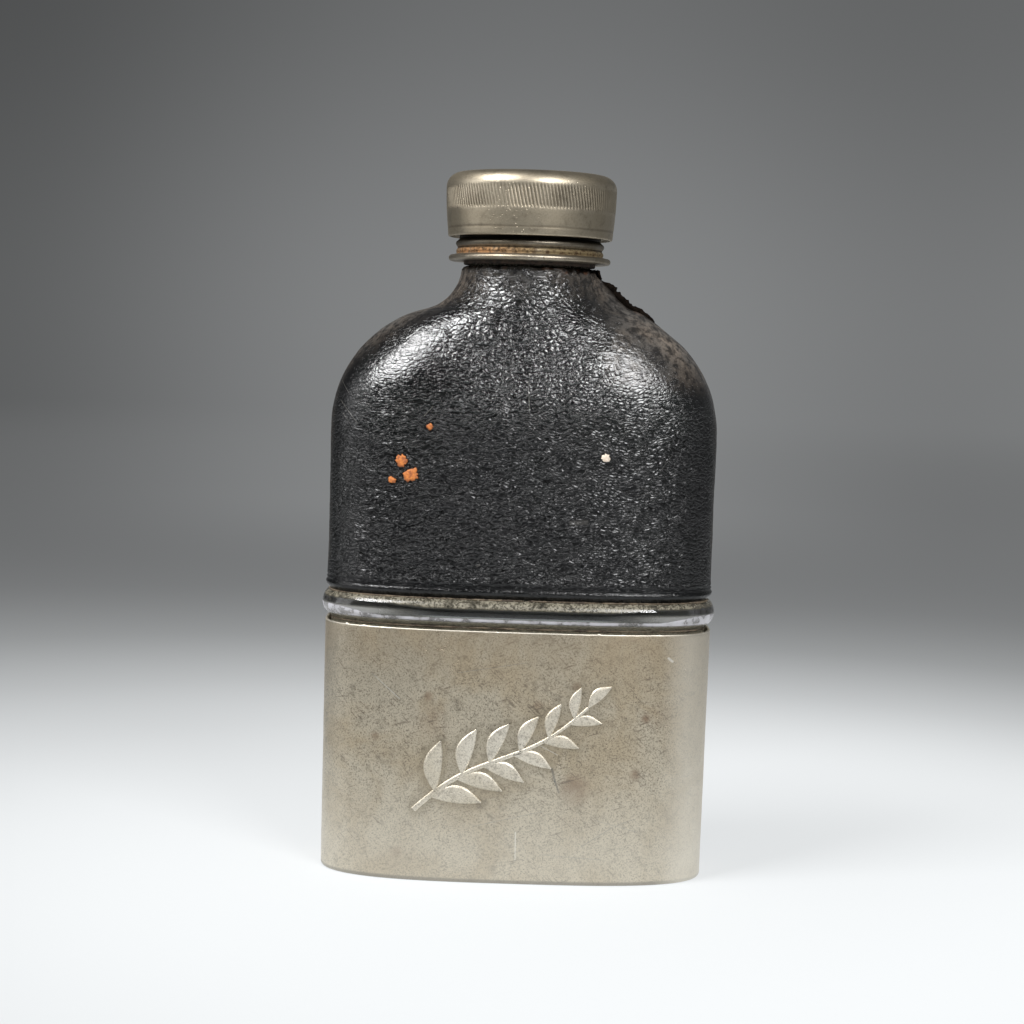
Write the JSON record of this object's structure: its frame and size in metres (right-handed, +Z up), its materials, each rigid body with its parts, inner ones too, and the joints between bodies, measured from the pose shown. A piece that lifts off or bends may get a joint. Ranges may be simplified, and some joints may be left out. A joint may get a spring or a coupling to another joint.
{
  "type": "hip flask",
  "caption": "Flat oval glass pocket flask with a leather-covered upper half, a screw cap and a pull-off metal drinking cup over its lower half.",
  "frame": {"origin": "centre of the cup's base, on the surface that the flask stands on", "axes": "+Z up along the neck, +X across the wide face, +Y through the thickness from the front face to the back"},
  "size_m": [0.0834, 0.0384, 0.1479],
  "materials": {
    "cup_plate": "dull aged nickel plate, mottled and scratched",
    "bottle_glass": "clear, thick and slightly wavy",
    "cover_leather": "black pebbled grain, semi-gloss, rubbed at the shoulders",
    "collar_plate": "aged nickel plate with rust-brown grime in the grooves",
    "neck_cement": "matte dark brown setting cement",
    "cap_plate": "aged nickel plate, reeded band, semi-gloss",
    "seal_cork": "pressed cork, matte"
  },
  "bodies": {
    "cup": {"cup_wall": "cup_plate", "cup_base_plate": "cup_plate"},
    "bottle": {"glass_bottle": "bottle_glass", "leather_front_panel": "cover_leather", "leather_back_panel": "cover_leather", "neck_collar": "collar_plate", "collar_cement": "neck_cement"},
    "cap_seal": {"cap_cork_disc": "seal_cork"},
    "cap": {"cap_shell": "cap_plate", "cap_thread_liner": "cap_plate"}
  },
  "joints": [
    {"name": "bottle_lift", "type": "slide", "parent": "cup", "child": "bottle", "axis": [0, 0, 1], "range_m": [0, 0.06]},
    {"name": "cap_rise", "type": "slide", "parent": "bottle", "child": "cap_seal", "axis": [0, 0, 1], "range_m": [0, 0.0121]},
    {"name": "cap_turn", "type": "hinge", "parent": "cap_seal", "child": "cap", "pos_m": [0, 0, 0.134], "axis": [0, 0, 1], "range_deg": [0, 1440]}
  ],
  "couplings": [
    {"joint": "cap_rise", "follows": "cap_turn", "m_per_rad": 0.00047746}
  ]
}
